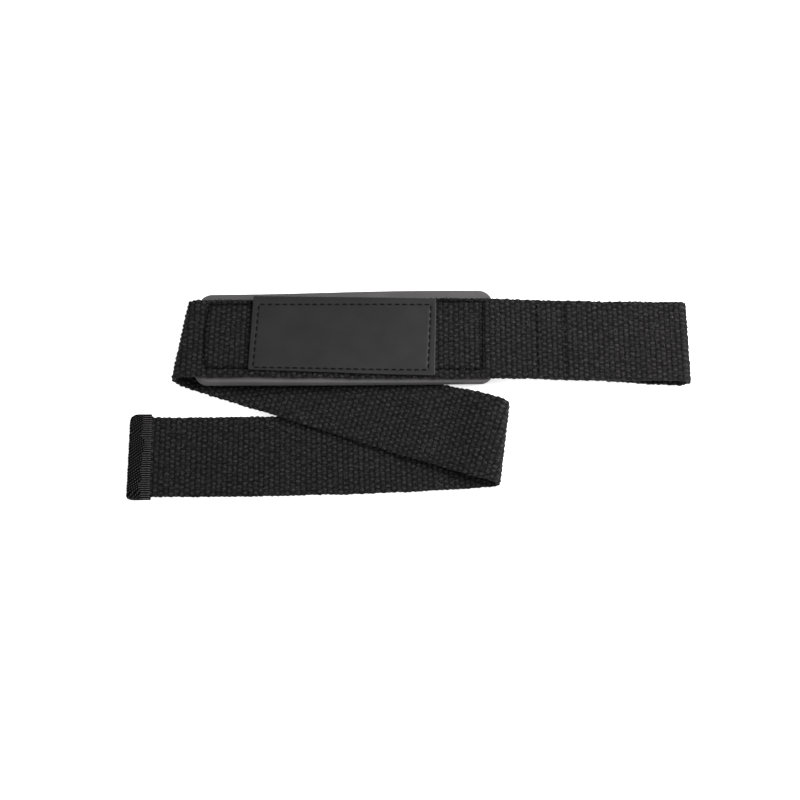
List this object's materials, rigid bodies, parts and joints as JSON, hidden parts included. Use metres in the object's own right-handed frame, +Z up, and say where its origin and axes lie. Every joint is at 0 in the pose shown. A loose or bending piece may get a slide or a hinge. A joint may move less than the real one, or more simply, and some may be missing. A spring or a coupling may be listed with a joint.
{
  "type": "weightlifting strap",
  "caption": "Padded cotton weightlifting strap folded into a Z, with sewn hand loop, foam wrist pad, stitched bare label and bound end.",
  "frame": {"origin": "on the floor under the middle of the strap's box as it lies folded", "axes": "+X along the upper run towards the hand loop, +Y from the bound end's run towards the padded run, +Z up"},
  "size_m": [0.261, 0.0988, 0.0169],
  "materials": {
    "cotton_webbing": "matte fuzzy black cotton webbing in a coarse plain weave",
    "grey_foam": "matte fine-grained grey foam",
    "black_rubber": "smooth satin black patch with stitched border",
    "binding_tape": "ribbed black polyester tape"
  },
  "bodies": {
    "root": {"webbing": "cotton_webbing", "wrist_pad": "grey_foam", "label_patch": "black_rubber", "end_binding": "binding_tape"}
  },
  "joints": []
}
